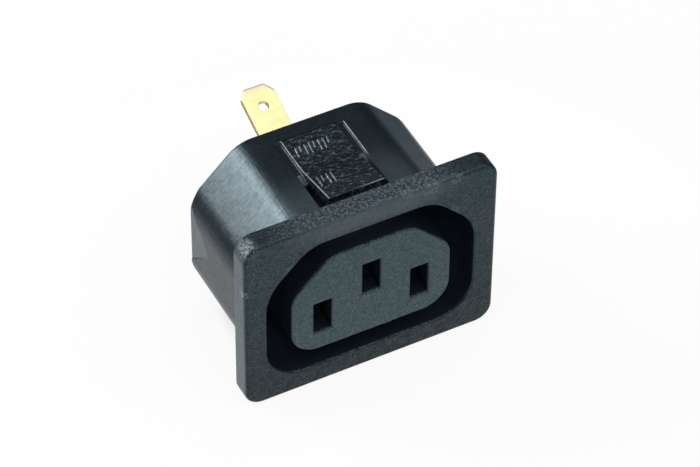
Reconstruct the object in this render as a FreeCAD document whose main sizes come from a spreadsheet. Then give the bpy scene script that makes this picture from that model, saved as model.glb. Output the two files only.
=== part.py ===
"""Snap-in panel power outlet for appliance plugs: moulded housing, rear cover and three sheet-metal contacts.

Frame: origin at the centre of the flange's back face, which seats on the panel. +X right, +Y into the panel, +Z up.
"""
import FreeCAD, Part
import math
import os
import Sketcher

# Driving dimensions: millimetres, and degrees for angles.
SIZES = [
    # flange
    ("flange_width", 36.2),
    ("flange_height", 28.5),
    ("flange_thickness", 2.85),
    ("flange_corner_radius", 2.5),
    ("flange_edge_radius", 0.5),
    # body behind the flange, with its two upper corners bevelled at 45 degrees
    ("body_width", 32.0),
    ("body_height", 24.0),
    ("body_depth", 17.55),
    ("body_bevel", 7.1),
    ("body_low_radius", 6.5),
    ("body_side_radius", 7.0),
    ("body_top_radius", 5.0),
    ("body_edge_radius", 0.3),
    # channel that takes the plug's shroud
    ("channel_width", 30.0),
    ("channel_height", 22.0),
    ("channel_bevel", 6.2),
    ("channel_depth", 16.65),
    ("channel_low_radius", 5.5),
    ("channel_side_radius", 7.5),
    ("channel_top_radius", 5.5),
    ("channel_edge_radius", 0.2),
    # core that carries the three slots
    ("core_width", 22.9),
    ("core_height", 15.9),
    ("core_bevel", 5.5),
    ("core_radius", 4.0),
    ("core_edge_radius", 0.2),
    # slots, and the chambers behind them
    ("pin_pitch", 14.0),
    ("live_drop", 2.3),
    ("earth_rise", 1.7),
    ("slot_width", 2.6),
    ("slot_height", 5.3),
    ("slot_edge_chamfer", 0.15),
    ("face_skin", 2.4),
    ("chamber_width", 4.0),
    ("chamber_height", 6.0),
    # snap tongues in the top and bottom walls
    ("tongue_width", 8.0),
    ("tongue_gap", 0.95),
    ("tongue_root", 14.95),
    ("tongue_kink", 9.35),
    ("tongue_front", 1.45),
    ("tongue_rise", 1.7),
    ("tongue_nose", 1.5),
    ("groove_depth", 0.35),
    ("groove_front", 8.73),
    ("window_rear", 7.15),
    ("window_sill", 0.8),
    ("flange_relief_depth", 0.3),
    ("flange_relief_margin", 0.15),
    # shallow lead-in reliefs at the rear of the side walls
    ("lead_in_length", 4.9),
    ("lead_in_nose", 1.35),
    ("lead_in_drop", 0.98),
    ("lead_in_spread", 42.0),
    ("lead_in_angle", 2.4),
    # rear cover
    ("cover_wall", 1.2),
    ("cover_thickness", 2.0),
    ("cover_clearance", 0.1),
    ("cover_edge_chamfer", 0.3),
    ("cover_slot_clearance", 0.1),
    # contacts
    ("sheet", 0.4),
    ("leaf_height", 4.4),
    ("leaf_front", 3.0),
    ("leaf_throat", 4.8),
    ("leaf_root", 10.3),
    ("leaf_throat_gap", 1.7),
    ("leaf_root_gap", 2.5),
    ("leaf_bend_radius", 1.5),
    ("web_front", 10.8),
    ("shoulder_reach", 0.4),
    ("shoulder_length", 1.3),
    ("shoulder_clearance", 0.1),
    ("tab_width", 4.8),
    ("earth_tab_angle", 21.0),
    ("live_tab_angle", 25.0),
    ("tab_length", 13.8),
    ("tab_tip_width", 3.0),
    ("tab_tip_length", 1.2),
    ("tab_tip_radius", 0.5),
    ("tab_tip_chamfer", 0.25),
    ("tab_bend_radius", 0.6),
    ("tab_hole_radius", 0.75),
    ("tab_hole_inset", 3.2),
]

OVERLAP = 0.5  # how far a cut runs past the face it starts from
MARGIN = 0.01  # how far round an outline its own edges are looked for
TOLERANCE = 1e-4  # how closely two lengths have to agree


class Size:
    """A length that knows both its number and the sheet formula it comes from."""

    def __init__(self, number, text):
        self.number = number
        self.text = text

    def __neg__(self):
        return Size(-self.number, f"(0 - {self.text})")

    def __add__(self, other):
        other = size(other)
        return Size(self.number + other.number, f"({self.text} + {other.text})")

    def __sub__(self, other):
        other = size(other)
        return Size(self.number - other.number, f"({self.text} - {other.text})")

    def __mul__(self, other):
        other = size(other)
        return Size(self.number * other.number, f"({self.text} * {other.text})")

    def __truediv__(self, other):
        other = size(other)
        return Size(self.number / other.number, f"({self.text} / {other.text})")


def size(value):
    """Turn a plain number into a Size; a Size passes through."""
    if isinstance(value, Size):
        return value
    return Size(float(value), f"({float(value)})")


def sine(angle):
    return Size(math.sin(math.radians(angle.number)), f"sin({angle.text} * 1 deg)")


def cosine(angle):
    return Size(math.cos(math.radians(angle.number)), f"cos({angle.text} * 1 deg)")


def tangent(angle):
    return Size(math.tan(math.radians(angle.number)), f"tan({angle.text} * 1 deg)")


doc = FreeCAD.newDocument("panel_outlet")
sheet = doc.addObject("Spreadsheet::Sheet", "Sizes")
given = {}
for row, (alias, number) in enumerate(SIZES, start=1):
    sheet.set(f"A{row}", alias)
    sheet.set(f"B{row}", str(number))
    sheet.setAlias(f"B{row}", alias)
    given[alias] = Size(number, f"Sizes.{alias}")
doc.recompute()


def new_body(label):
    body = doc.addObject("PartDesign::Body", label)
    body.Label = label
    return body


def plane_of(body, role):
    for feature in body.Origin.OriginFeatures:
        if feature.Role == role:
            return feature
    raise ValueError(role)


def new_sketch(body, name, role, offset=None):
    """A sketch on one of the body's origin planes, moved along the plane's normal by offset."""
    sketch = body.newObject("Sketcher::SketchObject", name)
    sketch.AttachmentSupport = (plane_of(body, role), "")
    sketch.MapMode = "FlatFace"
    if offset is not None:
        sketch.setExpression(".AttachmentOffset.Base.z", offset.text)
    return sketch


def drive(sketch, kind, *where, value):
    """Add a dimension to the sketch and bind it to the sheet."""
    index = sketch.addConstraint(Sketcher.Constraint(kind, *where, value.number))
    sketch.setExpression(f"Constraints[{index}]", value.text)


def add_corner_arc(sketch, corner, before, after, radius):
    """Round one corner of an outline; returns the arc's id, its first and last end, and where they lie."""
    half_turn = before.getAngle(after) / 2
    cut = radius.number / math.tan(half_turn)
    start = corner + before * cut
    finish = corner + after * cut
    middle = (before + after).normalize()
    centre = corner + middle * (radius.number / math.sin(half_turn))
    turns_left = before.cross(after).z < 0
    ends = (start, finish) if turns_left else (finish, start)
    angles = [math.atan2((end - centre).y, (end - centre).x) for end in ends]
    if angles[1] < angles[0]:
        angles[1] += 2 * math.pi
    circle = Part.Circle(centre, FreeCAD.Vector(0, 0, 1), radius.number)
    arc = sketch.addGeometry(Part.ArcOfCircle(circle, *angles), False)
    first, last = (1, 2) if turns_left else (2, 1)
    return arc, first, last, start, finish


def add_outline(sketch, corners):
    """Draw a closed outline through corners (u, v, radius), each held by its distance from the sketch's origin."""
    corners = [(size(u), size(v), radius) for u, v, radius in corners]
    places = [FreeCAD.Vector(u.number, v.number, 0) for u, v, radius in corners]
    count = len(corners)
    leaves = []
    reaches = []
    arcs = []
    for i, (u, v, radius) in enumerate(corners):
        if radius is None:
            arcs.append(None)
            reaches.append(places[i])
            leaves.append(places[i])
            continue
        before = (places[i - 1] - places[i]).normalize()
        after = (places[(i + 1) % count] - places[i]).normalize()
        arc, first, last, start, finish = add_corner_arc(sketch, places[i], before, after, radius)
        arcs.append((arc, first, last))
        reaches.append(start)
        leaves.append(finish)
    sides = []
    for i in range(count):
        following = (i + 1) % count
        sides.append(sketch.addGeometry(Part.LineSegment(leaves[i], reaches[following]), False))
    for i, (u, v, radius) in enumerate(corners):
        arriving = sides[i - 1]
        leaving = sides[i]
        if radius is None:
            sketch.addConstraint(Sketcher.Constraint("Coincident", arriving, 2, leaving, 1))
            held = (leaving, 1)
        else:
            arc, first, last = arcs[i]
            point = sketch.addGeometry(Part.Point(places[i]), True)
            sketch.addConstraint(Sketcher.Constraint("PointOnObject", point, 1, arriving))
            sketch.addConstraint(Sketcher.Constraint("PointOnObject", point, 1, leaving))
            sketch.addConstraint(Sketcher.Constraint("Tangent", arriving, 2, arc, first))
            sketch.addConstraint(Sketcher.Constraint("Tangent", arc, last, leaving, 1))
            drive(sketch, "Radius", arc, value=radius)
            held = (point, 1)
        drive(sketch, "DistanceX", -1, 1, *held, value=u)
        drive(sketch, "DistanceY", -1, 1, *held, value=v)


def add_rectangle(sketch, u, v, width, height):
    """Draw a rectangle centred on (u, v)."""
    left = size(u) - width / 2
    right = size(u) + width / 2
    low = size(v) - height / 2
    high = size(v) + height / 2
    add_outline(sketch, [(left, low, None), (right, low, None), (right, high, None), (left, high, None)])


def add_circle(sketch, v, radius):
    """Draw a circle centred on the sketch's vertical axis."""
    place = FreeCAD.Vector(0, v.number, 0)
    circle = sketch.addGeometry(Part.Circle(place, FreeCAD.Vector(0, 0, 1), radius.number), False)
    sketch.addConstraint(Sketcher.Constraint("PointOnObject", circle, 3, -2))
    drive(sketch, "DistanceY", -1, 1, circle, 3, value=v)
    drive(sketch, "Radius", circle, value=radius)


def extrude(body, kind, sketch, name, length, reverse=False, symmetric=False):
    """Pad or pocket a sketch; a pocket cuts against the sketch's normal unless it is reversed."""
    feature = body.newObject(f"PartDesign::{kind}", name)
    feature.Profile = sketch
    feature.Reversed = reverse
    if symmetric:
        feature.SideType = "Symmetric"
    feature.setExpression("Length", length.text)
    body.Tip = feature
    doc.recompute()
    return feature


def mirror(body, name, originals, role):
    feature = body.newObject("PartDesign::Mirrored", name)
    feature.Originals = originals
    feature.MirrorPlane = (plane_of(body, role), [""])
    body.Tip = feature
    doc.recompute()
    return feature


def edges_in_plane(feature, level, inside):
    """Names of the edges that lie in the plane y = level and whose middle is within the half sizes given."""
    names = []
    for number, edge in enumerate(feature.Shape.Edges, start=1):
        box = edge.BoundBox
        flat = abs(box.YMin - level) < TOLERANCE and abs(box.YMax - level) < TOLERANCE
        if flat and abs(box.Center.x) <= inside[0] and abs(box.Center.z) <= inside[1]:
            names.append(f"Edge{number}")
    return names


def edges_beyond(feature, knee, angle, distance):
    """Names of the long edges of a tab's faces that lie further than distance from the knee, along the tab."""
    along = FreeCAD.Vector(0, math.cos(math.radians(angle)), math.sin(math.radians(angle)))
    upright = FreeCAD.Vector(0, -along.z, along.y)
    names = []
    for number, edge in enumerate(feature.Shape.Edges, start=1):
        start, middle, finish = edge.discretize(3)
        reach = (middle - FreeCAD.Vector(0, knee, 0)).dot(along)
        stays_in_face = abs((finish - start).dot(upright)) < TOLERANCE
        if reach > distance and stays_in_face:
            names.append(f"Edge{number}")
    return names


def round_edges(body, base, names, name, radius):
    feature = body.newObject("PartDesign::Fillet", name)
    feature.Base = (base, names)
    feature.setExpression("Radius", radius.text)
    body.Tip = feature
    doc.recompute()
    return feature


def bevel_edges(body, base, names, name, length):
    feature = body.newObject("PartDesign::Chamfer", name)
    feature.Base = (base, names)
    feature.setExpression("Size", length.text)
    body.Tip = feature
    doc.recompute()
    return feature


def socket_outline(width, height, bevel, low_radius, side_radius, top_radius):
    """The outlet's outline: a rectangle with both upper corners bevelled, and every corner rounded."""
    right = width / 2
    top = height / 2
    return [
        (-right, -top, low_radius),
        (right, -top, low_radius),
        (right, top - bevel, side_radius),
        (right - bevel, top, top_radius),
        (-right + bevel, top, top_radius),
        (-right, top - bevel, side_radius),
    ]


def inset_outline(inset):
    """The body's outline moved inwards by inset all round."""
    bevel = given["body_bevel"] - inset * size(2 - math.sqrt(2))
    return socket_outline(
        given["body_width"] - inset * 2,
        given["body_height"] - inset * 2,
        bevel,
        given["body_low_radius"] - inset,
        given["body_side_radius"] - inset,
        given["body_top_radius"] - inset,
    )


def contact_places():
    """Where the contacts sit, as (label, x, z)."""
    half_pitch = given["pin_pitch"] / 2
    return [
        ("contact_left", -half_pitch, -given["live_drop"]),
        ("contact_right", half_pitch, -given["live_drop"]),
        ("contact_earth", size(0), given["earth_rise"]),
    ]


def add_at_contacts(sketch, width, height):
    for label, x, z in contact_places():
        add_rectangle(sketch, x, z, width, height)


# ---------------------------------------------------------------- housing: one moulding
housing = new_body("housing")

flange_sketch = new_sketch(housing, "flange_outline", "XZ_Plane")
flange_right = given["flange_width"] / 2
flange_top = given["flange_height"] / 2
corner = given["flange_corner_radius"]
add_outline(
    flange_sketch,
    [
        (-flange_right, -flange_top, corner),
        (flange_right, -flange_top, corner),
        (flange_right, flange_top, corner),
        (-flange_right, flange_top, corner),
    ],
)
flange = extrude(housing, "Pad", flange_sketch, "flange", given["flange_thickness"])
front_level = -given["flange_thickness"].number
everywhere = (flange_right.number, flange_top.number)
front_rim = edges_in_plane(flange, front_level, everywhere)
round_edges(housing, flange, front_rim, "flange_front_round", given["flange_edge_radius"])

body_sketch = new_sketch(housing, "body_outline", "XZ_Plane")
add_outline(body_sketch, inset_outline(size(0)))
body_shell = extrude(housing, "Pad", body_sketch, "body_shell", given["body_depth"], reverse=True)
rear_rim = edges_in_plane(body_shell, given["body_depth"].number, everywhere)
round_edges(housing, body_shell, rear_rim, "body_rear_round", given["body_edge_radius"])

# The channel is the ring between its own outline and the core's.
channel_sketch = new_sketch(housing, "channel_outline", "XZ_Plane", given["flange_thickness"])
add_outline(
    channel_sketch,
    socket_outline(
        given["channel_width"],
        given["channel_height"],
        given["channel_bevel"],
        given["channel_low_radius"],
        given["channel_side_radius"],
        given["channel_top_radius"],
    ),
)
add_outline(
    channel_sketch,
    socket_outline(
        given["core_width"],
        given["core_height"],
        given["core_bevel"],
        given["core_radius"],
        given["core_radius"],
        given["core_radius"],
    ),
)
channel = extrude(housing, "Pocket", channel_sketch, "channel", given["channel_depth"])

core_inside = (given["core_width"].number / 2 + MARGIN, given["core_height"].number / 2 + MARGIN)
core_rim = edges_in_plane(channel, front_level, core_inside)
core_round = round_edges(housing, channel, core_rim, "core_round", given["core_edge_radius"])
channel_inside = (given["channel_width"].number / 2 + MARGIN, given["channel_height"].number / 2 + MARGIN)
beyond_core = set(edges_in_plane(core_round, front_level, core_inside))
channel_rim = [
    name for name in edges_in_plane(core_round, front_level, channel_inside) if name not in beyond_core
]
round_edges(housing, core_round, channel_rim, "channel_round", given["channel_edge_radius"])

half_slots = given["pin_pitch"] / 2 + given["slot_width"]
slots_inside = (half_slots.number, given["live_drop"].number + given["slot_height"].number / 2)
slot_sketch = new_sketch(housing, "slot_outlines", "XZ_Plane", given["flange_thickness"])
add_at_contacts(slot_sketch, given["slot_width"], given["slot_height"])
slots = extrude(housing, "Pocket", slot_sketch, "slots", given["face_skin"] + OVERLAP)
slot_rims = edges_in_plane(slots, front_level, slots_inside)
bevel_edges(housing, slots, slot_rims, "slot_lead_in", given["slot_edge_chamfer"])

# The rear rebate takes the cover; chambers and shoulder seats open into it.
seat_level = given["body_depth"] - given["cover_thickness"]
rebate_sketch = new_sketch(housing, "rebate_outline", "XZ_Plane", -given["body_depth"])
add_outline(rebate_sketch, inset_outline(given["cover_wall"]))
extrude(housing, "Pocket", rebate_sketch, "rebate", given["cover_thickness"], reverse=True)

chamber_sketch = new_sketch(housing, "chamber_outlines", "XZ_Plane", -seat_level)
add_at_contacts(chamber_sketch, given["chamber_width"], given["chamber_height"])
chamber_length = seat_level + given["flange_thickness"] - given["face_skin"]
extrude(housing, "Pocket", chamber_sketch, "chambers", chamber_length, reverse=True)

shoulder_width = given["tab_width"] + given["shoulder_reach"] * 2
shoulder_gap = given["shoulder_clearance"] * 2
tab_thickness = given["sheet"] * 2
shoulder_sketch = new_sketch(housing, "shoulder_seat_outlines", "XZ_Plane", -seat_level)
add_at_contacts(shoulder_sketch, shoulder_width + shoulder_gap, tab_thickness + shoulder_gap)
extrude(
    housing,
    "Pocket",
    shoulder_sketch,
    "shoulder_seats",
    given["shoulder_length"] + shoulder_gap,
    reverse=True,
)

# Each snap tongue grows forward out of the wall: grooves beside its root, then an open window round its ramp.
body_top = given["body_height"] / 2
wall_underside = given["channel_height"] / 2
groove_floor = body_top - given["groove_depth"]
tongue_top = body_top + given["tongue_rise"]
relief_top = tongue_top + given["flange_relief_margin"]
window_sketch = new_sketch(housing, "window_profile", "YZ_Plane")
add_outline(
    window_sketch,
    [
        (given["tongue_root"], relief_top, None),
        (given["tongue_root"], groove_floor, None),
        (given["groove_front"], groove_floor, None),
        (given["window_rear"], wall_underside + given["window_sill"] / 4, None),
        (given["window_rear"], wall_underside - given["window_sill"], None),
        (-given["flange_relief_depth"], wall_underside - given["window_sill"], None),
        (-given["flange_relief_depth"], relief_top, None),
    ],
)
window_width = given["tongue_width"] + given["tongue_gap"] * 2
window = extrude(housing, "Pocket", window_sketch, "window", window_width, symmetric=True)

tongue_sketch = new_sketch(housing, "tongue_profile", "YZ_Plane")
add_outline(
    tongue_sketch,
    [
        (given["tongue_root"] + OVERLAP, wall_underside, None),
        (given["tongue_root"] + OVERLAP, body_top, None),
        (given["tongue_kink"], body_top, None),
        (given["tongue_front"], tongue_top, None),
        (given["tongue_front"], tongue_top - given["tongue_nose"], None),
        (given["window_rear"], wall_underside, None),
    ],
)
tongue = extrude(housing, "Pad", tongue_sketch, "tongue", given["tongue_width"], symmetric=True)
mirror(housing, "lower_tongue", [window, tongue], "XY_Plane")

# Lead-in reliefs: a plane tilted inwards towards the rear, bounded by a trapezoid.
lead_in_sketch = new_sketch(housing, "lead_in_outline", "YZ_Plane", given["body_width"] / 2)
lead_in_start = given["body_depth"] - given["lead_in_length"]
lead_in_sketch.AttachmentOffset = FreeCAD.Placement(
    FreeCAD.Vector(lead_in_start.number, 0, given["body_width"].number / 2),
    FreeCAD.Rotation(FreeCAD.Vector(0, 1, 0), given["lead_in_angle"].number),
)
lead_in_sketch.setExpression(".AttachmentOffset.Base.x", lead_in_start.text)
lead_in_sketch.setExpression(".AttachmentOffset.Rotation.Angle", given["lead_in_angle"].text)
lead_in_reach = given["lead_in_length"] + OVERLAP
lead_in_half = given["lead_in_nose"] / 2
lead_in_wide = lead_in_half + lead_in_reach * tangent(given["lead_in_spread"])
lead_in_middle = -given["lead_in_drop"]
add_outline(
    lead_in_sketch,
    [
        (size(0), lead_in_middle - lead_in_half, None),
        (lead_in_reach, lead_in_middle - lead_in_wide, None),
        (lead_in_reach, lead_in_middle + lead_in_wide, None),
        (size(0), lead_in_middle + lead_in_half, None),
    ],
)
lead_in = extrude(housing, "Pocket", lead_in_sketch, "lead_in", given["cover_wall"], reverse=True)
mirror(housing, "left_lead_in", [lead_in], "YZ_Plane")

# ---------------------------------------------------------------- rear cover: a plate that closes the chambers
cover = new_body("rear_cover")
cover_sketch = new_sketch(cover, "cover_outline", "XZ_Plane", -seat_level)
add_outline(cover_sketch, inset_outline(given["cover_wall"] + given["cover_clearance"]))
plate = extrude(cover, "Pad", cover_sketch, "plate", given["cover_thickness"], reverse=True)

cover_rim = edges_in_plane(plate, given["body_depth"].number, everywhere)
bevel_edges(cover, plate, cover_rim, "cover_edge", given["cover_edge_chamfer"])

cover_slot_gap = given["cover_slot_clearance"] * 2
cover_slot_sketch = new_sketch(cover, "tab_slot_outlines", "XZ_Plane", -seat_level)
add_at_contacts(cover_slot_sketch, given["tab_width"] + cover_slot_gap, tab_thickness + cover_slot_gap)
extrude(cover, "Pocket", cover_slot_sketch, "tab_slots", given["cover_thickness"] + OVERLAP)


# ---------------------------------------------------------------- contacts: folded from one strip each
def leaf_outline(side):
    """One spring leaf seen from above: straight root, waist that grips the pin, flared mouth."""
    thickness = given["sheet"]
    root = given["leaf_root_gap"] / 2
    throat = given["leaf_throat_gap"] / 2
    bend = given["leaf_bend_radius"]
    rear = given["web_front"] + given["chamber_width"] / 2
    corners = [
        (root, rear, None),
        (root, given["leaf_root"], bend),
        (throat, given["leaf_throat"], bend),
        (root, given["leaf_front"], None),
        (root + thickness, given["leaf_front"], None),
        (throat + thickness, given["leaf_throat"], bend),
        (root + thickness, given["leaf_root"], bend),
        (root + thickness, rear, None),
    ]
    if side < 0:
        corners = [(-u, v, radius) for u, v, radius in reversed(corners)]
    return corners


def make_contact(label, x, z, angle, turn):
    """One contact with its tab bent up by angle; a half turn about +Y bends the tab down instead."""
    contact = new_body(label)

    leaves = new_sketch(contact, f"{label}_leaf_outlines", "XY_Plane")
    add_outline(leaves, leaf_outline(1))
    add_outline(leaves, leaf_outline(-1))
    extrude(contact, "Pad", leaves, f"{label}_leaves", given["leaf_height"], symmetric=True)

    # The web joins the leaves, the shoulders trap the contact, and the strap passes through the cover.
    half_web = given["leaf_root_gap"] / 2 + given["sheet"]
    half_shoulder = shoulder_width / 2
    half_tab = given["tab_width"] / 2
    shoulder_rear = seat_level - given["shoulder_clearance"]
    shoulder_front = shoulder_rear - given["shoulder_length"]
    strap_end = given["body_depth"] + given["tab_bend_radius"] / 2
    strap = new_sketch(contact, f"{label}_strap_outline", "XY_Plane")
    add_outline(
        strap,
        [
            (half_web, given["web_front"], None),
            (half_web, shoulder_front, None),
            (half_shoulder, shoulder_front, None),
            (half_shoulder, shoulder_rear, None),
            (half_tab, shoulder_rear, None),
            (half_tab, strap_end, None),
            (-half_tab, strap_end, None),
            (-half_tab, shoulder_rear, None),
            (-half_shoulder, shoulder_rear, None),
            (-half_shoulder, shoulder_front, None),
            (-half_web, shoulder_front, None),
            (-half_web, given["web_front"], None),
        ],
    )
    extrude(contact, "Pad", strap, f"{label}_strap", tab_thickness, symmetric=True)

    # The bend, seen from the side: two straight runs joined by concentric arcs.
    half_sheet = given["sheet"]
    knee = strap_end + given["tab_bend_radius"] / 2
    shift = half_sheet * tangent(angle / 2)
    run = given["tab_bend_radius"] * 2
    low_end = (knee + run * cosine(angle) + half_sheet * sine(angle), run * sine(angle) - half_sheet * cosine(angle))
    high_end = (knee + run * cosine(angle) - half_sheet * sine(angle), run * sine(angle) + half_sheet * cosine(angle))
    bend = new_sketch(contact, f"{label}_bend_profile", "YZ_Plane")
    add_outline(
        bend,
        [
            (strap_end - OVERLAP, -half_sheet, None),
            (knee + shift, -half_sheet, given["tab_bend_radius"] + tab_thickness),
            (*low_end, None),
            (*high_end, None),
            (knee - shift, half_sheet, given["tab_bend_radius"]),
            (strap_end - OVERLAP, half_sheet, None),
        ],
    )
    extrude(contact, "Pad", bend, f"{label}_bend", given["tab_width"], symmetric=True)

    # The tab lies in its own plane, tilted about the knee.
    blade = new_sketch(contact, f"{label}_tab_outline", "XY_Plane")
    blade.AttachmentOffset = FreeCAD.Placement(
        FreeCAD.Vector(0, knee.number, 0),
        FreeCAD.Rotation(FreeCAD.Vector(1, 0, 0), angle.number),
    )
    blade.setExpression(".AttachmentOffset.Base.y", knee.text)
    blade.setExpression(".AttachmentOffset.Rotation.Angle", angle.text)
    half_tip = given["tab_tip_width"] / 2
    tip = given["tab_length"]
    shoulder = tip - given["tab_tip_length"]
    rounding = given["tab_tip_radius"]
    add_outline(
        blade,
        [
            (-half_tab, given["tab_bend_radius"], None),
            (half_tab, given["tab_bend_radius"], None),
            (half_tab, shoulder, None),
            (half_tip, tip, rounding),
            (-half_tip, tip, rounding),
            (-half_tab, shoulder, None),
        ],
    )
    add_circle(blade, tip - given["tab_hole_inset"], given["tab_hole_radius"])
    tab = extrude(contact, "Pad", blade, f"{label}_tab", tab_thickness, symmetric=True)
    tip_edges = edges_beyond(tab, knee.number, angle.number, shoulder.number)
    bevel_edges(contact, tab, tip_edges, f"{label}_tip_lead_in", given["tab_tip_chamfer"])

    contact.Placement = FreeCAD.Placement(
        FreeCAD.Vector(x.number, 0, z.number),
        FreeCAD.Rotation(FreeCAD.Vector(0, 1, 0), turn),
    )
    contact.setExpression(".Placement.Base.x", x.text)
    contact.setExpression(".Placement.Base.z", z.text)
    return contact


parts = [housing, cover]
for label, x, z in contact_places():
    is_earth = label == "contact_earth"
    bend_angle = given["earth_tab_angle"] if is_earth else given["live_tab_angle"]
    parts.append(make_contact(label, x, z, bend_angle, 0 if is_earth else 180))

doc.recompute()
for item in doc.Objects:
    faults = {"Invalid", "Error"} & set(item.State)
    if faults:
        raise RuntimeError(f"{item.Label} did not build: {sorted(faults)}")
for part in parts:
    if part.Shape.isNull() or not part.Shape.isValid() or len(part.Shape.Solids) != 1:
        raise RuntimeError(f"{part.Label} is not one valid solid")

os.makedirs("parts", exist_ok=True)
for part in parts:
    part.Shape.exportStep(f"parts/{part.Label}.step")
    print(part.Label, round(part.Shape.Volume, 2), "mm3")
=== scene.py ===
import math

import bpy
from mathutils import Matrix, Vector


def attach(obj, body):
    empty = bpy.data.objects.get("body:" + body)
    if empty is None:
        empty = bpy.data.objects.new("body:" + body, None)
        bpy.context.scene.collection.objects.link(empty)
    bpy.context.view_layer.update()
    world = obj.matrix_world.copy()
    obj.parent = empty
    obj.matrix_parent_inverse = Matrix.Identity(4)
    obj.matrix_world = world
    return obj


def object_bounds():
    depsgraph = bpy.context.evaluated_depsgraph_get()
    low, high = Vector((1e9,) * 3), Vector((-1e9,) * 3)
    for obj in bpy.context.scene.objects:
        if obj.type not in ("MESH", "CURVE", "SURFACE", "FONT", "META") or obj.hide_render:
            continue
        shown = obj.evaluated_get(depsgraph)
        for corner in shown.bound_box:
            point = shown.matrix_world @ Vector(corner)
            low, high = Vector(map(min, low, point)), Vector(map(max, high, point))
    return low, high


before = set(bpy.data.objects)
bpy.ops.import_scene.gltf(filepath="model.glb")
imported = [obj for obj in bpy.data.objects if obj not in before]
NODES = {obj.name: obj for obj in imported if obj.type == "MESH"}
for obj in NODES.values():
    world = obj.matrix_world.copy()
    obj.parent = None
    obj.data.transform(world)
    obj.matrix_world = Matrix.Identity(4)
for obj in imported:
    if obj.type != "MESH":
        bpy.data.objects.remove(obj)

# A black moulded snap-in power outlet on a plain white sheet. Metres; +X right, +Y into the panel, +Z up.
CAD_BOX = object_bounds()
MM = 0.001

# Camera: where it stands round the object, in degrees and metres, and how far the view moves off the centre.
VIEW_AZIMUTH = 27.97
VIEW_ELEVATION = 45.17
VIEW_ROLL = 0.565
VIEW_DISTANCE = 0.46657
VIEW_RIGHT = -2.844 * MM
VIEW_UP = 8.300 * MM
VIEW_CENTRE = Vector((0, -2.85, -2.3)) * MM
LENS = 186.885
SENSOR = 36.0


# ---------------------------------------------------------------- material building blocks
# A blue-green tint on the plastic's gloss, standing in for the cool light: painted light colour.
COOL_LIGHT_GLOSS_TINT = (0.68, 0.89, 1.0, 1)


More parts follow.
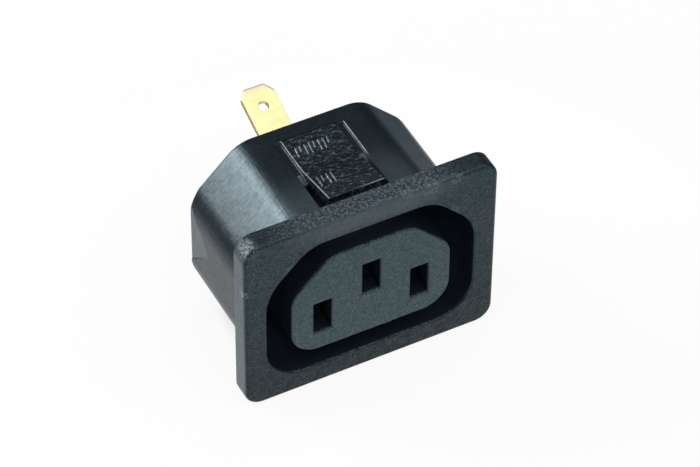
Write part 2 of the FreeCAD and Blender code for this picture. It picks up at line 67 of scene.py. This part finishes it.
class Recipe:
    """One procedural material, built node by node; most calls return the new node's output."""

    def __init__(self, name):
        self.material = bpy.data.materials.new(name)
        self.material.use_nodes = True
        self.nodes = self.material.node_tree.nodes
        self.links = self.material.node_tree.links
        self.nodes.clear()
        coordinates = self.nodes.new("ShaderNodeTexCoord")
        scale = self.nodes.new("ShaderNodeVectorMath")
        scale.operation = "SCALE"
        self.links.new(coordinates.outputs["Object"], scale.inputs[0])
        scale.inputs["Scale"].default_value = 1 / MM
        self.place = scale.outputs[0]
        split = self.nodes.new("ShaderNodeSeparateXYZ")
        self.links.new(self.place, split.inputs[0])
        self.x, self.y, self.z = split.outputs

    def put(self, socket, value):
        """Links a socket to another's output, or sets it to a plain value."""
        if isinstance(value, bpy.types.NodeSocket):
            self.links.new(value, socket)
        else:
            socket.default_value = value

    def math(self, operation, first, second=0.0):
        node = self.nodes.new("ShaderNodeMath")
        node.operation = operation
        self.put(node.inputs[0], first)
        self.put(node.inputs[1], second)
        return node.outputs[0]

    def fade(self, value, low, high):
        """0 below low, 1 above high and smooth between; it falls instead if low is above high."""
        node = self.nodes.new("ShaderNodeMapRange")
        node.interpolation_type = "SMOOTHSTEP"
        node.clamp = True
        falls = low > high
        self.put(node.inputs["Value"], value)
        node.inputs["From Min"].default_value = min(low, high)
        node.inputs["From Max"].default_value = max(low, high)
        node.inputs["To Min"].default_value = 1.0 if falls else 0.0
        node.inputs["To Max"].default_value = 0.0 if falls else 1.0
        return node.outputs["Result"]

    def both(self, *masks):
        """The product of several masks."""
        result = masks[0]
        for mask in masks[1:]:
            result = self.math("MULTIPLY", result, mask)
        return result

    def either(self, *masks):
        """The larger of several masks."""
        result = masks[0]
        for mask in masks[1:]:
            result = self.math("MAXIMUM", result, mask)
        return result

    def less(self, mask):
        """The mask turned round."""
        return self.math("SUBTRACT", 1.0, mask)

    def stretch(self, x, y, z, turn=(0, 0, 0)):
        """The place in mm, turned, then scaled along each axis, for grain that runs one way."""
        node = self.nodes.new("ShaderNodeMapping")
        node.vector_type = "POINT"
        self.links.new(self.place, node.inputs["Vector"])
        node.inputs["Scale"].default_value = (x, y, z)
        node.inputs["Rotation"].default_value = turn
        return node.outputs[0]

    def noise(self, scale, detail, roughness, place=None):
        node = self.nodes.new("ShaderNodeTexNoise")
        self.links.new(place or self.place, node.inputs["Vector"])
        node.inputs["Scale"].default_value = scale
        node.inputs["Detail"].default_value = detail
        node.inputs["Roughness"].default_value = roughness
        return node.outputs["Fac"]

    def blend(self, factor, first, second):
        """A colour that goes from first to second as factor goes from 0 to 1."""
        node = self.nodes.new("ShaderNodeMix")
        node.data_type = "RGBA"
        self.put(node.inputs[0], factor)
        for socket, value in zip((node.inputs[6], node.inputs[7]), (first, second)):
            self.put(socket, value if isinstance(value, bpy.types.NodeSocket) else (*value, 1))
        return node.outputs[2]

    def bump(self, height, distance, normal):
        """The normal tilted by a texture; distance is the height in metres where the texture is 1."""
        node = self.nodes.new("ShaderNodeBump")
        node.inputs["Strength"].default_value = 1.0
        node.inputs["Distance"].default_value = distance
        self.links.new(height, node.inputs["Height"])
        self.links.new(normal, node.inputs["Normal"])
        return node.outputs[0]

    def soft_edges(self, radius):
        """The normal with every sharp edge rounded by a radius in metres."""
        node = self.nodes.new("ShaderNodeBevel")
        node.samples = 4
        node.inputs["Radius"].default_value = radius
        return node.outputs[0]

    def near(self, centre, radius, soft=0.5):
        """1 inside a ball round a point given in mm, fading out over the share soft of its radius."""
        node = self.nodes.new("ShaderNodeVectorMath")
        node.operation = "DISTANCE"
        self.links.new(self.place, node.inputs[0])
        node.inputs[1].default_value = centre
        return self.fade(node.outputs["Value"], radius, radius * (1 - soft))

    def facing(self, axis):
        """How far the surface faces along one axis, from -1 to 1."""
        geometry = self.nodes.new("ShaderNodeNewGeometry")
        split = self.nodes.new("ShaderNodeSeparateXYZ")
        self.links.new(geometry.outputs["True Normal"], split.inputs[0])
        return split.outputs["XYZ".index(axis)]

    def tinted(self, material):
        """Gives the plastic's gloss a faint blue-green cast that stands in for the cool light: painted light
        colour.
        """
        for node in self.nodes:
            if node.type == "BSDF_PRINCIPLED":
                node.inputs["Specular Tint"].default_value = COOL_LIGHT_GLOSS_TINT
        return material

    def surface(self, **sockets):
        shader = self.nodes.new("ShaderNodeBsdfPrincipled")
        output = self.nodes.new("ShaderNodeOutputMaterial")
        self.links.new(shader.outputs[0], output.inputs["Surface"])
        for name, value in sockets.items():
            socket = shader.inputs[name.replace("_", " ")]
            self.put(socket, (*value, 1) if isinstance(value, tuple) else value)
        return self.material


# ---------------------------------------------------------------- black moulding
# Soft limits of its zones, in mm along one axis: a mask is 0 at the first value and 1 at the second.
FACE_FRONT = (-2.3, -2.6)
FLANGE_BACK = (0.2, 0.0)
CORE_FACE_ACROSS = (12.8, 12.2)
CORE_FACE_ABOVE = (9.2, 8.6)
CORE_WALL_ACROSS = (12.0, 11.8)
CORE_WALL_ABOVE = (8.5, 8.3)
CORE_WALL_REAR = (15.0, 14.0)
RECESS_FLOOR = (2.0, 3.0)
RECESS_MOUTH = (-2.75, -2.35)
TONGUE_ACROSS = (4.2, 4.0)
TONGUE_ABOVE = (11.2, 11.4)
TONGUE_FRONT = (1.2, 1.4)
TONGUE_REAR = (15.2, 15.0)
MARKS_ACROSS = (3.7, 3.6)
MARKS_FRONT = (2.5, 3.0)
LEAD_IN_ACROSS = (15.2, 15.4)
# Where the painted highlight at the top middle of the face lies.
FACE_HIGHLIGHT_ABOVE = (10.0, 12.8)
FACE_HIGHLIGHT_ACROSS = (16.0, 4.0)
RIM_MIDDLE_ACROSS = (16.0, 8.0)
RIM_MIDDLE_RIGHT = (15.0, 9.0)
# How far the painted highlight on the top reaches from the flange.
TOP_HIGHLIGHT_REACH = (11.0, 1.0)
DULL_REACH = (11.0, 0.5)
SHEEN_HEIGHT = (-9.0, 2.0)
FACE_SHADING = (-16.0, 16.0)
RECESS_SHADING = (-2.5, 8.0)

# The same for the painted highlight lines along the tongues' edges and the right groove's outer edge.
TONGUE_SIDE_LINE = (-3.78, -3.88)
TONGUE_FRONT_LINE = (1.72, 1.62)
FRONT_LINE_ACROSS = (-1.0, 3.0)
GROOVE_LINE_LEFT = (4.86, 4.94)
GROOVE_LINE_RIGHT = (5.16, 5.06)
GROOVE_LINE_FRONT = (7.5, 9.0)
GROOVE_LINE_REAR = (15.0, 14.6)

# The same for how far a surface faces along an axis.
FACES_ALONG = (0.6, 0.9)
FACES_INWARD = (-0.5, -2.0)
SLOPE_AT_LEAST = (0.2, 0.5)
SLOPE_AT_MOST = (0.999, 0.96)
MARK_FLANK = (0.90, 0.80)
TOP_HIGHLIGHT_LEVEL = (0.8, 0.95)
DULL_LEVEL = (0.85, 0.97)
LINE_LEVEL = (0.5, 0.8)

# The painted highlight at the rear of each side wall is a triangular facet: its point, spread per mm and
# middle height.
LEAD_IN_POINT = 12.65
LEAD_IN_SPREAD = 0.9
LEAD_IN_MIDDLE = -0.98
LEAD_IN_EDGE = (-0.7, -0.55)

# Colours; a pair runs from the dark to the light part of the grain.
# Face colours: the low pair is painted shade towards the bottom, the high pair painted light towards the top,
# and the glow a painted highlight at the top middle.
FACE_PAINTED_SHADE_LOW = ((0.0030, 0.0065, 0.0085), (0.0120, 0.0210, 0.0250))
FACE_PAINTED_LIGHT_HIGH = ((0.0080, 0.0220, 0.0280), (0.0380, 0.0700, 0.0800))
FACE_PAINTED_HIGHLIGHT = (0.0850, 0.1150, 0.1300)
CORE = ((0.0260, 0.0540, 0.0620), (0.0800, 0.1240, 0.1370))
WALL = ((0.0050, 0.0085, 0.0120), (0.0090, 0.0140, 0.0180))
RIM_DARK_ENDS_AND_MIDDLE = ((0.0040, 0.0075, 0.0095), (0.0140, 0.0200, 0.0240))
RIM_LIGHT_ENDS_AND_MIDDLE = ((0.0180, 0.0260, 0.0310), (0.0850, 0.1100, 0.1250))
RIM_SIDE = (0.0480, 0.0720, 0.0780)
SPECK = (0.16, 0.20, 0.21)
# Painted highlight on the top towards the flange.
TOP_PAINTED_HIGHLIGHT = (0.0350, 0.0470, 0.0550)
RUBBED = (0.30, 0.34, 0.36)
# Painted highlight along the tongues' edges and a groove's edge.
EDGE_PAINTED_HIGHLIGHT = (0.34, 0.38, 0.41)
HAIRLINE = (0.0720, 0.0920, 0.1080)
# Painted highlight on the strokes' flanks.
STROKE_PAINTED_HIGHLIGHT = (0.1900, 0.2200, 0.2400)
# Painted highlight on the lead-in facets.
LEAD_IN_PAINTED_HIGHLIGHT = (0.0380, 0.0560, 0.0620)
# Painted shade in the recess: darkest at its mouth, lighter towards its rear.
RECESS_PAINTED_SHADE_FRONT_AND_REAR = ((0.0100, 0.0145, 0.0230), (0.0560, 0.0800, 0.1150))

# Wear spots on the flange: place in mm, radius, and the share of the radius over which they fade.
CORNER_RUB = ((-17.5, -1.7, 13.9), 2.1, 0.8)
EDGE_RUBS = (((8.5, -2.9, 13.6), 1.6), ((12.0, -2.9, 13.9), 1.2), ((5.0, -2.7, 14.2), 1.0))
NICK = ((-18.1, -2.4, 6.5), 0.9)

# How strongly each mark covers the colour below it.
SPECK_SHARE = 0.6
TOP_HIGHLIGHT_SHARE = 0.8
RUBBED_SHARE = 0.8
EDGE_RUB_SHARE = 0.35
EDGE_HIGHLIGHT_SHARE = 0.9
FRONT_LINE_SHARE = 0.6

# Roughness and gloss: a base, then what a texture or zone adds or takes away.
ROUGHNESS = 0.30
PATCH_ROUGHNESS = 0.12
DULL_ROUGHNESS = 0.17
TONGUE_SMOOTHING = 0.10
SLOPE_SMOOTHING = 0.06
INSIDE_ROUGHNESS = 0.85
GLOSS = 0.32
SCUFF_GLOSS = 0.20
SHEEN_GLOSS = 0.40
FACE_DULLING = 0.16
INSIDE_DULLING = 0.9

# Heights of the surface textures, in mm.
FACE_TEXTURE = 0.10
RIM_TEXTURE = 0.12
WALL_TEXTURE = 0.030
TONGUE_TEXTURE = 0.27
EDGE_ROUNDING = 0.12


class Moulding(Recipe):
    """Black moulded thermoplastic: spark-textured flange and core face, smoother walls, and a recess darkened
    by painted shade.
    """

    def __init__(self, name):
        super().__init__(name)
        self.forward = self.math("MULTIPLY", self.facing("Y"), -1.0)
        self.upward = self.math("ABSOLUTE", self.facing("Z"))
        self.across = self.math("ABSOLUTE", self.x)
        self.above = self.math("ABSOLUTE", self.z)
        self.find_zones()
        self.grain = self.noise(3.2, 2.0, 0.7)
        self.coarse = self.noise(2.8, 2.0, 0.65)
        self.patch = self.noise(0.35, 3.0, 0.6)
        self.warp = self.noise(0.9, 3.0, 0.6)

    def find_zones(self):
        """Masks for the parts of the moulding that look different."""
        faces_front = self.fade(self.forward, *FACES_ALONG)
        self.is_face = self.both(self.fade(self.y, *FACE_FRONT), faces_front)
        is_flange = self.fade(self.y, *FLANGE_BACK)
        self.is_wall = self.less(is_flange)
        self.is_rim = self.both(is_flange, self.less(self.is_face))
        self.is_core = self.both(
            self.is_face, self.fade(self.across, *CORE_FACE_ACROSS), self.fade(self.above, *CORE_FACE_ABOVE)
        )
        outward_x = self.math("MULTIPLY", self.x, self.facing("X"))
        outward_z = self.math("MULTIPLY", self.z, self.facing("Z"))
        outward = self.math("ADD", outward_x, outward_z)
        faces_in = self.fade(outward, *FACES_INWARD)
        is_floor = self.both(faces_front, self.fade(self.y, *RECESS_FLOOR))
        is_core_wall = self.both(
            self.fade(self.across, *CORE_WALL_ACROSS),
            self.fade(self.above, *CORE_WALL_ABOVE),
            self.fade(self.y, *CORE_WALL_REAR),
        )
        self.is_inside = self.both(
            self.either(faces_in, is_floor, is_core_wall), self.fade(self.y, *RECESS_MOUTH)
        )
        self.is_tongue = self.both(
            self.is_wall,
            self.fade(self.across, *TONGUE_ACROSS),
            self.fade(self.above, *TONGUE_ABOVE),
            self.fade(self.y, *TONGUE_REAR),
            self.fade(self.y, *TONGUE_FRONT),
        )
        self.is_mark = self.both(
            self.is_tongue,
            self.fade(self.across, *MARKS_ACROSS),
            self.fade(self.upward, *MARK_FLANK),
            self.fade(self.y, *MARKS_FRONT),
        )
        self.is_slope = self.both(
            self.is_wall, self.fade(self.upward, *SLOPE_AT_LEAST), self.fade(self.upward, *SLOPE_AT_MOST)
        )

    def zone_colour_with_painted_light(self):
        """The plastic's colour, which differs from zone to zone and is lighter in the middle of the rims; the
        face carries painted shade towards its bottom and a painted highlight at its top middle.
        """
        face_grain = self.fade(self.grain, 0.36, 0.66)
        low = self.blend(face_grain, *FACE_PAINTED_SHADE_LOW)
        high = self.blend(face_grain, *FACE_PAINTED_LIGHT_HIGH)
        # A painted highlight at the top middle of the face, and painted shade down towards its bottom.
        painted_face_highlight = self.both(self.fade(self.z, *FACE_HIGHLIGHT_ABOVE), self.fade(self.across, *FACE_HIGHLIGHT_ACROSS))
        high = self.blend(painted_face_highlight, high, FACE_PAINTED_HIGHLIGHT)
        face = self.blend(self.fade(self.z, *FACE_SHADING), low, high)
        core = self.blend(face_grain, *CORE)
        wall = self.blend(self.patch, *WALL)

        rim_middle = self.both(
            self.fade(self.across, *RIM_MIDDLE_ACROSS), self.fade(self.x, *RIM_MIDDLE_RIGHT)
        )
        rim_dark = self.blend(rim_middle, *RIM_DARK_ENDS_AND_MIDDLE)
        rim_light = self.blend(rim_middle, *RIM_LIGHT_ENDS_AND_MIDDLE)
        rim = self.blend(self.fade(self.coarse, 0.40, 0.66), rim_dark, rim_light)
        sideways = self.math("ABSOLUTE", self.facing("X"))
        rim = self.blend(self.fade(sideways, *FACES_ALONG), rim, RIM_SIDE)

        colour = self.blend(self.is_rim, wall, rim)
        colour = self.blend(self.is_face, colour, face)
        return self.blend(self.is_core, colour, core)

    def specks_and_painted_highlight(self, colour):
        """Pale specks on the face, and a painted highlight on the top towards the flange."""
        specks = self.both(self.is_face, self.fade(self.noise(3.4, 1.0, 0.4), 0.66, 0.78))
        colour = self.blend(self.math("MULTIPLY", specks, SPECK_SHARE), colour, SPECK)
        # A painted highlight on the top of the body towards the flange.
        painted_top_highlight = self.both(
            self.is_wall,
            self.fade(self.upward, *TOP_HIGHLIGHT_LEVEL),
            self.less(self.is_tongue),
            self.fade(self.y, *TOP_HIGHLIGHT_REACH),
        )
        return self.blend(self.math("MULTIPLY", painted_top_highlight, TOP_HIGHLIGHT_SHARE), colour, TOP_PAINTED_HIGHLIGHT)

    def rubbed(self, colour):
        """A rubbed flange corner, a lightly rubbed top edge at the right and a nick in the left edge."""
        torn = self.fade(self.noise(2.4, 3.0, 0.7), 0.42, 0.60)
        edge_rub = self.either(*(self.near(*spot) for spot in EDGE_RUBS))
        edge_rub = self.math("MULTIPLY", edge_rub, EDGE_RUB_SHARE)
        rubbed = self.both(self.either(self.near(*CORNER_RUB), edge_rub, self.near(*NICK)), torn)
        return self.blend(self.math("MULTIPLY", rubbed, RUBBED_SHARE), colour, RUBBED)

    def hairlines_and_painted_highlights(self, colour):
        """Painted highlight lines along the tongues' edges and one groove's edge, hairlines, and painted
        highlights on the strokes' flanks.
        """
        tongue_side = self.fade(self.x, *TONGUE_SIDE_LINE)
        tongue_front = self.both(
            self.fade(self.y, *TONGUE_FRONT_LINE), self.fade(self.x, *FRONT_LINE_ACROSS), FRONT_LINE_SHARE
        )
        tongue_edge = self.both(self.is_tongue, self.either(tongue_side, tongue_front))
        groove_edge = self.both(
            self.is_wall,
            self.fade(self.x, *GROOVE_LINE_LEFT),
            self.fade(self.x, *GROOVE_LINE_RIGHT),
            self.fade(self.y, *GROOVE_LINE_FRONT),
            self.fade(self.y, *GROOVE_LINE_REAR),
        )
        # Painted highlight along the tongue and groove edges.
        edge_highlight = self.both(
            self.either(tongue_edge, groove_edge),
            self.fade(self.upward, *LINE_LEVEL),
            self.fade(self.warp, 0.20, 0.45),
        )
        colour = self.blend(self.math("MULTIPLY", edge_highlight, EDGE_HIGHLIGHT_SHARE), colour, EDGE_PAINTED_HIGHLIGHT)
        slanted = self.stretch(1.5, 2.6, 1.5, (0, 0, 0.6))
        hairlines = self.fade(self.noise(1.0, 3.0, 0.6, slanted), 0.54, 0.68)
        colour = self.blend(self.both(self.is_tongue, hairlines), colour, HAIRLINE)
        # Painted highlight on the flanks of the raised strokes.
        return self.blend(self.both(self.is_mark, self.fade(self.warp, 0.15, 0.45)), colour, STROKE_PAINTED_HIGHLIGHT)

    def painted_facet_highlight_and_recess_shade(self, colour):
        """A painted highlight on the triangular facets of the lead-ins, and painted shade in the recess,
        which is darker at its mouth.
        """
        spread = self.math("MULTIPLY", self.math("SUBTRACT", self.y, LEAD_IN_POINT), LEAD_IN_SPREAD)
        from_middle = self.math("ABSOLUTE", self.math("SUBTRACT", self.z, LEAD_IN_MIDDLE))
        is_lead_in = self.both(
            self.is_wall,
            self.fade(self.across, *LEAD_IN_ACROSS),
            self.fade(self.math("SUBTRACT", spread, from_middle), *LEAD_IN_EDGE),
        )
        # Painted highlight on the lead-in facets.
        colour = self.blend(is_lead_in, colour, LEAD_IN_PAINTED_HIGHLIGHT)
        # Painted shade in the recess, darkest at its mouth.
        inside = self.blend(self.fade(self.y, *RECESS_SHADING), *RECESS_PAINTED_SHADE_FRONT_AND_REAR)
        return self.blend(self.is_inside, colour, inside)

    def textured(self):
        """The normal: grain on the face and rim, flow streaks on the walls, wrinkles on the tongues."""
        streaks = self.noise(1.0, 4.0, 0.65, self.stretch(2.6, 0.5, 2.6))
        wrinkle = self.noise(1.0, 2.0, 0.6, self.stretch(1.1, 1.7, 1.1, (0, 0, 0.7)))
        face = self.both(self.grain, self.is_face, FACE_TEXTURE)
        rim = self.both(self.coarse, self.is_rim, RIM_TEXTURE)
        wall = self.both(streaks, self.is_wall, self.less(self.is_tongue), WALL_TEXTURE)
        tongue = self.both(self.math("ADD", wrinkle, self.warp), self.is_tongue, TONGUE_TEXTURE)
        height = self.math("ADD", self.math("ADD", face, rim), self.math("ADD", wall, tongue))
        return self.bump(height, MM, self.soft_edges(EDGE_ROUNDING * MM))

    def roughness(self):
        """Duller on the top towards the flange and inside, smoother on the tongues and bevels."""
        to_flange = self.both(
            self.fade(self.y, *DULL_REACH), self.fade(self.upward, *DULL_LEVEL), DULL_ROUGHNESS
        )
        rough = self.math("ADD", ROUGHNESS, self.math("MULTIPLY", self.patch, PATCH_ROUGHNESS))
        rough = self.math("ADD", rough, to_flange)
        rough = self.math("SUBTRACT", rough, self.math("MULTIPLY", self.is_tongue, TONGUE_SMOOTHING))
        rough = self.math("MAXIMUM", rough, self.math("MULTIPLY", self.is_inside, INSIDE_ROUGHNESS))
        return self.math("SUBTRACT", rough, self.math("MULTIPLY", self.is_slope, SLOPE_SMOOTHING))

    def gloss(self):
        """Scuffed all over, with a mottled sheen high on the bevels; least on the face and inside."""
        mottling = self.noise(1.0, 4.0, 0.75, self.stretch(0.9, 4.2, 0.9))
        mottle = self.math("ADD", 0.5, self.fade(mottling, 0.30, 0.70))
        towards_top = self.fade(self.math("SUBTRACT", self.z, self.across), *SHEEN_HEIGHT)
        sheen = self.both(self.is_slope, towards_top, mottle)
        scuff = self.fade(self.noise(1.0, 5.0, 0.7, self.stretch(1.3, 2.4, 1.3, (0, 0, 0.5))), 0.36, 0.64)
        gloss = self.math("ADD", GLOSS, self.math("MULTIPLY", scuff, SCUFF_GLOSS))
        gloss = self.math("ADD", gloss, self.math("MULTIPLY", sheen, SHEEN_GLOSS))
        gloss = self.math("SUBTRACT", gloss, self.math("MULTIPLY", self.is_face, FACE_DULLING))
        return self.math("MULTIPLY", gloss, self.less(self.math("MULTIPLY", self.is_inside, INSIDE_DULLING)))

    def finish(self):
        colour = self.painted_facet_highlight_and_recess_shade(self.hairlines_and_painted_highlights(self.rubbed(self.specks_and_painted_highlight(self.zone_colour_with_painted_light()))))
        return self.tinted(self.surface(
            Base_Color=colour,
            Roughness=self.roughness(),
            Specular_IOR_Level=self.gloss(),
            Normal=self.textured(),
        ))


# ---------------------------------------------------------------- other finishes
COVER = ((0.0060, 0.0100, 0.0135), (0.0120, 0.0180, 0.0225))
CLEAN_AND_TARNISHED = ((0.82, 0.73, 0.39), (0.75, 0.64, 0.32))
BRASS_TIP = (0.80, 0.64, 0.46)
SHEARED_EDGE = (0.36, 0.28, 0.12)
TIP_REACH = (29.6, 30.8)
PAPER = ((0.86, 0.86, 0.86), (0.90, 0.90, 0.90))
GLOW_SHARE = 0.90
UNDER_ACROSS = (15.0, 9.0)
UNDER_FRONT = (-1.0, 3.0)
UNDER_REAR = (17.0, 12.0)


def cover_finish(name):
    """The same black plastic with a plain, slightly smoother finish."""
    r = Recipe(name)
    patch = r.noise(0.4, 4.0, 0.6)
    grain = r.noise(3.0, 3.0, 0.6)
    colour = r.blend(patch, *COVER)
    normal = r.bump(grain, 0.02 * MM, r.soft_edges(0.10 * MM))
    roughness = r.math("ADD", 0.34, r.math("MULTIPLY", patch, 0.14))
    return r.tinted(r.surface(Base_Color=colour, Roughness=roughness, Normal=normal))


def brass_finish(name):
    """Rolled brass strip: fine grain along the strip, faint tarnish, darker sheared edges."""
    r = Recipe(name)
    grain = r.noise(1.0, 4.0, 0.6, r.stretch(14.0, 1.2, 14.0))
    tarnish = r.noise(0.5, 4.0, 0.65)
    colour = r.blend(r.fade(tarnish, 0.35, 0.75), *CLEAN_AND_TARNISHED)
    to_tip = r.fade(r.y, *TIP_REACH)
    colour = r.blend(to_tip, colour, BRASS_TIP)
    edge = r.fade(r.math("ABSOLUTE", r.facing("X")), *FACES_ALONG)
    colour = r.blend(edge, colour, SHEARED_EDGE)
    normal = r.bump(grain, 0.01 * MM, r.soft_edges(0.08 * MM))
    roughness = r.math("ADD", 0.34, r.math("MULTIPLY", grain, 0.14))
    metallic = r.less(r.math("MULTIPLY", to_tip, 0.5))
    return r.surface(Base_Color=colour, Metallic=metallic, Roughness=roughness, Normal=normal)


def floor_finish(name):
    """White paper that glows where it is seen, directly or mirrored, but not in a fixed patch underneath,
    where the glow is withheld as painted shadow.
    """
    r = Recipe(name)
    fibre = r.noise(0.8, 4.0, 0.6)
    colour = r.blend(fibre, *PAPER)
    path = r.nodes.new("ShaderNodeLightPath")
    seen = r.either(
        path.outputs["Is Camera Ray"], path.outputs["Is Glossy Ray"], path.outputs["Is Transmission Ray"]
    )
    # The glow is withheld in a fixed patch under the object: painted shadow.
    painted_shadow_under = r.both(
        r.fade(r.math("ABSOLUTE", r.x), *UNDER_ACROSS), r.fade(r.y, *UNDER_FRONT), r.fade(r.y, *UNDER_REAR)
    )
    paper = r.nodes.new("ShaderNodeBsdfPrincipled")
    r.put(paper.inputs["Base Color"], colour)
    paper.inputs["Roughness"].default_value = 0.95
    paper.inputs["Specular IOR Level"].default_value = 0.0
    glow = r.nodes.new("ShaderNodeEmission")
    r.put(glow.inputs["Strength"], seen)
    mix = r.nodes.new("ShaderNodeMixShader")
    r.put(mix.inputs[0], r.both(seen, r.less(painted_shadow_under), GLOW_SHARE))
    r.links.new(paper.outputs[0], mix.inputs[1])
    r.links.new(glow.outputs[0], mix.inputs[2])
    output = r.nodes.new("ShaderNodeOutputMaterial")
    r.links.new(mix.outputs[0], output.inputs["Surface"])
    return r.material


def dress(node, material):
    node.data.materials.clear()
    node.data.materials.append(material)


# ---------------------------------------------------------------- raised marks
def tongue_level(y):
    """Height of the upper tongue's outer face, in mm: flat at the rear, then rising to its front end."""
    flat = 12.0
    kink = 9.35
    front = 1.45
    rise = 1.7
    return flat + max(0.0, kink - y) * rise / (kink - front)


def add_tongue_marks(material):
    """Two rows of plain raised strokes on the upper tongue, where such mouldings carry their marks; in mm."""
    rows = [(-2.95, 13.2, 8, 1.9), (-3.2, 6.6, 4, 2.3)]  # left end, rear end, number of strokes, their length
    pitch = 0.66
    half_width = 0.16
    rise = 0.15
    sink = 0.02
    lean = -0.25
    short_share = 0.62
    profile = ((-1, 0.0), (-0.2, rise), (0.2, rise), (1, 0.0))
    vertices = []
    faces = []
    for left, rear, count, length in rows:
        for stroke in range(count):
            share = short_share if stroke % 3 == 1 else 1.0
            middle = left + stroke * pitch
            front = rear - length * share
            ends = [(middle - lean / 2, rear), (middle + lean / 2, front)]
            first = len(vertices)
            for x, y in ends:
                for side, top in profile:
                    height = tongue_level(y) - sink + top
                    vertices.append(((x + side * half_width) * MM, y * MM, height * MM))
            for step in range(3):
                faces.append((first + step, first + step + 4, first + step + 5, first + step + 1))
            faces.append((first + 3, first + 7, first + 4, first))
            faces.append((first, first + 1, first + 2, first + 3))
            faces.append((first + 7, first + 6, first + 5, first + 4))
    mesh = bpy.data.meshes.new("tongue_marks")
    mesh.from_pydata(vertices, [], faces)
    mesh.validate()
    marks = bpy.data.objects.new("tongue_marks", mesh)
    bpy.context.scene.collection.objects.link(marks)
    dress(marks, material)
    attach(marks, "root")


# ---------------------------------------------------------------- studio, in metres and watts
SHEET_RADIUS = 1.5
RING_INNER_RADIUS = 0.055
DARK_CARD = ((0.13, 0.17, 0.20), (0.17, 0.22, 0.25))
LAMP_DISTANCE = 0.8
SKY_COLOUR = (0.75, 0.9, 1.0, 1)
SKY_STRENGTH = 0.03


def add_disc(name, level, inner, outer, material):
    """A flat ring round the object; with no inner radius it is a disc."""
    turns = 96
    vertices = []
    for radius in (inner, outer):
        for turn in range(turns):
            angle = 2 * math.pi * turn / turns
            vertices.append((radius * math.cos(angle), radius * math.sin(angle), level))
    faces = []
    for turn in range(turns):
        following = (turn + 1) % turns
        faces.append((turn, turns + turn, turns + following, following))
    if inner < MM:
        vertices = vertices[turns:]
        faces = [tuple(range(turns))]
    mesh = bpy.data.meshes.new(name)
    mesh.from_pydata(vertices, [], faces)
    disc = bpy.data.objects.new(name, mesh)
    bpy.context.scene.collection.objects.link(disc)
    dress(disc, material)
    return disc


def build_sheet():
    """A white sheet, and round it a dark ring that only reflections see: a photographer's black flag."""
    level = CAD_BOX[0][2]
    add_disc("sheet", level, 0.0, SHEET_RADIUS, floor_finish("white_paper"))
    card = Recipe("dark_card")
    shade = card.blend(card.noise(0.05, 2.0, 0.5), *DARK_CARD)
    dark = card.surface(Base_Color=shade, Roughness=0.9)
    ring = add_disc("surround", level + MM, RING_INNER_RADIUS, SHEET_RADIUS, dark)
    ring.visible_camera = False
    ring.visible_shadow = False


def aim(thing, place, target, roll=0.0):
    """Puts a lamp or camera at a place, looking at a target."""
    back = (place - target).normalized()
    right = Vector((0, 0, 1)).cross(back)
    right.normalize()
    up = back.cross(right)
    turned_right = right * math.cos(roll) + up * math.sin(roll)
    turned_up = up * math.cos(roll) - right * math.sin(roll)
    rotation = Matrix((turned_right, turned_up, back)).transposed().to_4x4()
    thing.matrix_world = Matrix.Translation(place) @ rotation


def add_softbox(name, direction, width, height, power):
    """A soft lamp in a direction from the object."""
    lamp = bpy.data.lights.new(name, "AREA")
    lamp.shape = "RECTANGLE"
    lamp.size = width
    lamp.size_y = height
    lamp.energy = power
    box = bpy.data.objects.new(name, lamp)
    bpy.context.scene.collection.objects.link(box)
    box.visible_camera = False
    aim(box, Vector(direction).normalized() * LAMP_DISTANCE, Vector((0, 0, 0)))


def build_lights():
    add_softbox("overhead", (0.15, -0.30, 1.0), 1.50, 1.20, 9.5)
    add_softbox("left_low", (-0.71, 0.62, 0.33), 0.45, 0.35, 3.1)
    add_softbox("left_high", (-0.50, 0.62, 0.60), 0.28, 0.28, 1.7)
    world = bpy.data.worlds.new("studio")
    world.use_nodes = True
    sky = world.node_tree.nodes["Background"]
    sky.inputs["Color"].default_value = SKY_COLOUR
    sky.inputs["Strength"].default_value = SKY_STRENGTH
    bpy.context.scene.world = world


def build_camera():
    azimuth = math.radians(VIEW_AZIMUTH)
    elevation = math.radians(VIEW_ELEVATION)
    back = Vector((
        -math.sin(azimuth) * math.cos(elevation),
        -math.cos(azimuth) * math.cos(elevation),
        math.sin(elevation),
    ))
    right = Vector((0, 0, 1)).cross(back).normalized()
    up = back.cross(right)
    target = VIEW_CENTRE + right * VIEW_RIGHT + up * VIEW_UP
    lens = bpy.data.cameras.new("camera")
    lens.lens = LENS
    lens.sensor_width = SENSOR
    lens.clip_start = 0.01
    camera = bpy.data.objects.new("camera", lens)
    bpy.context.scene.collection.objects.link(camera)
    aim(camera, target + back * VIEW_DISTANCE, target, math.radians(VIEW_ROLL))
    bpy.context.scene.camera = camera


moulding = Moulding("black_moulding").finish()
dress(NODES["housing"], moulding)
dress(NODES["rear_cover"], cover_finish("black_cover"))
brass = brass_finish("rolled_brass")
for contact in ("contact_left", "contact_right", "contact_earth"):
    dress(NODES[contact], brass)

add_tongue_marks(moulding)
build_sheet()
build_lights()
build_camera()
bpy.context.scene.view_settings.view_transform = "Standard"
